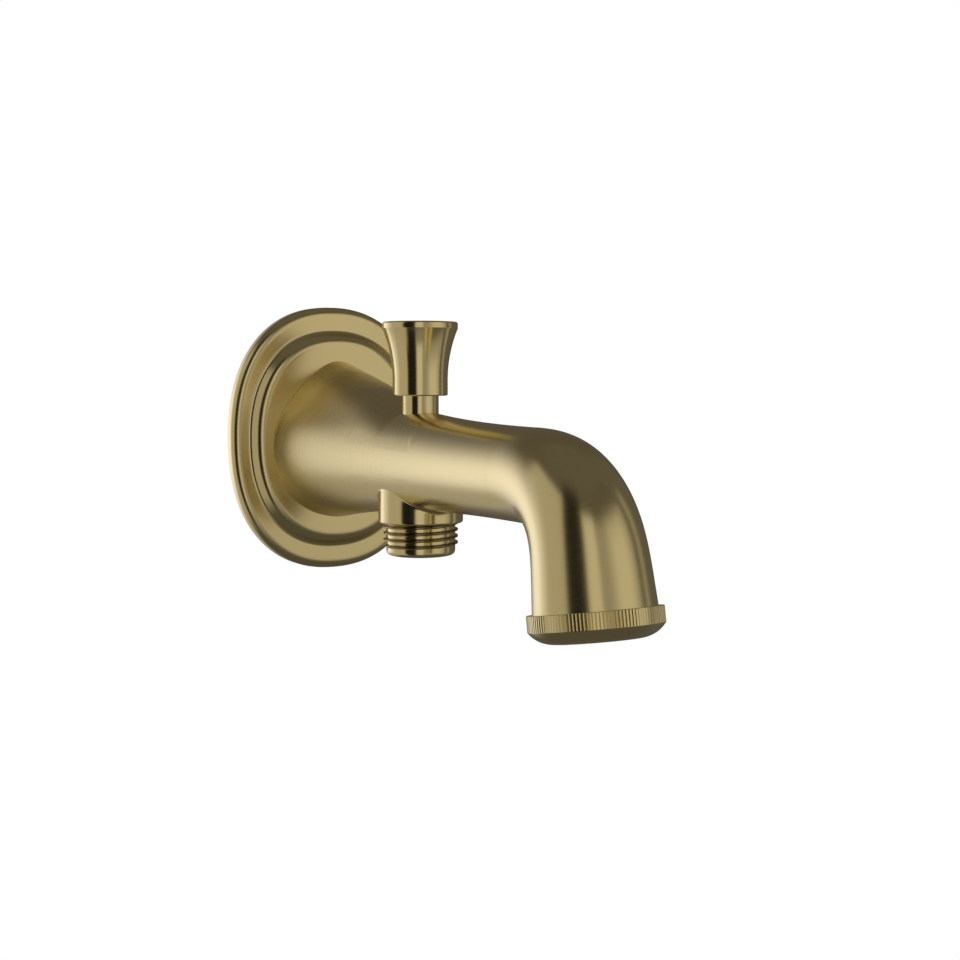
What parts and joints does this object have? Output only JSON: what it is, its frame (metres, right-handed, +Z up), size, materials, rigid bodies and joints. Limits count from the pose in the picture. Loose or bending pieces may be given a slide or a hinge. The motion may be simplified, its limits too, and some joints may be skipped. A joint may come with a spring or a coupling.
{
  "type": "bath spout",
  "caption": "Wall-mounted bath spout with an oval flange, a pull-up diverter knob, a threaded hand-shower outlet under the arm and a knurled aerator.",
  "frame": {"origin": "on the axis of the threaded inlet, in the plane of the wall", "axes": "+Z up, +Y into the wall along the inlet, -Y out along the spout, +X to the right for someone who faces the wall"},
  "size_m": [0.0672, 0.1836, 0.083],
  "materials": {
    "brushed_brass": "brushed antique gold plating, satin",
    "polished_brass": "polished antique gold plating",
    "raw_brass": "machined brass",
    "spring_steel": "stainless steel",
    "white_plastic": "moulded plastic",
    "black_rubber": "moulded rubber"
  },
  "bodies": {
    "spout": {"aerator_gasket": "black_rubber", "aerator_insert": "white_plastic", "aerator_screen": "spring_steel", "aerator_shell": "brushed_brass", "diverter_gland": "polished_brass", "gland_seal": "black_rubber", "inlet_nipple": "raw_brass", "inlet_seal": "black_rubber", "return_spring": "spring_steel", "shower_nipple": "polished_brass", "shower_nipple_seal": "black_rubber", "spindle_seal": "black_rubber", "spout_body": "brushed_brass", "wall_flange": "brushed_brass"},
    "diverter": {"diverter_knob": "polished_brass", "diverter_spindle": "raw_brass", "valve_plunger": "raw_brass", "upper_valve_washer": "black_rubber", "lower_valve_washer": "black_rubber", "plunger_nut": "raw_brass"}
  },
  "joints": [
    {"name": "diverter_lift", "type": "slide", "parent": "spout", "child": "diverter", "axis": [0, 0, 1], "range_m": [0, 0.0079], "stiffness_N_per_m": 120, "springref_m": -0.005, "deforming": ["return_spring"]}
  ]
}
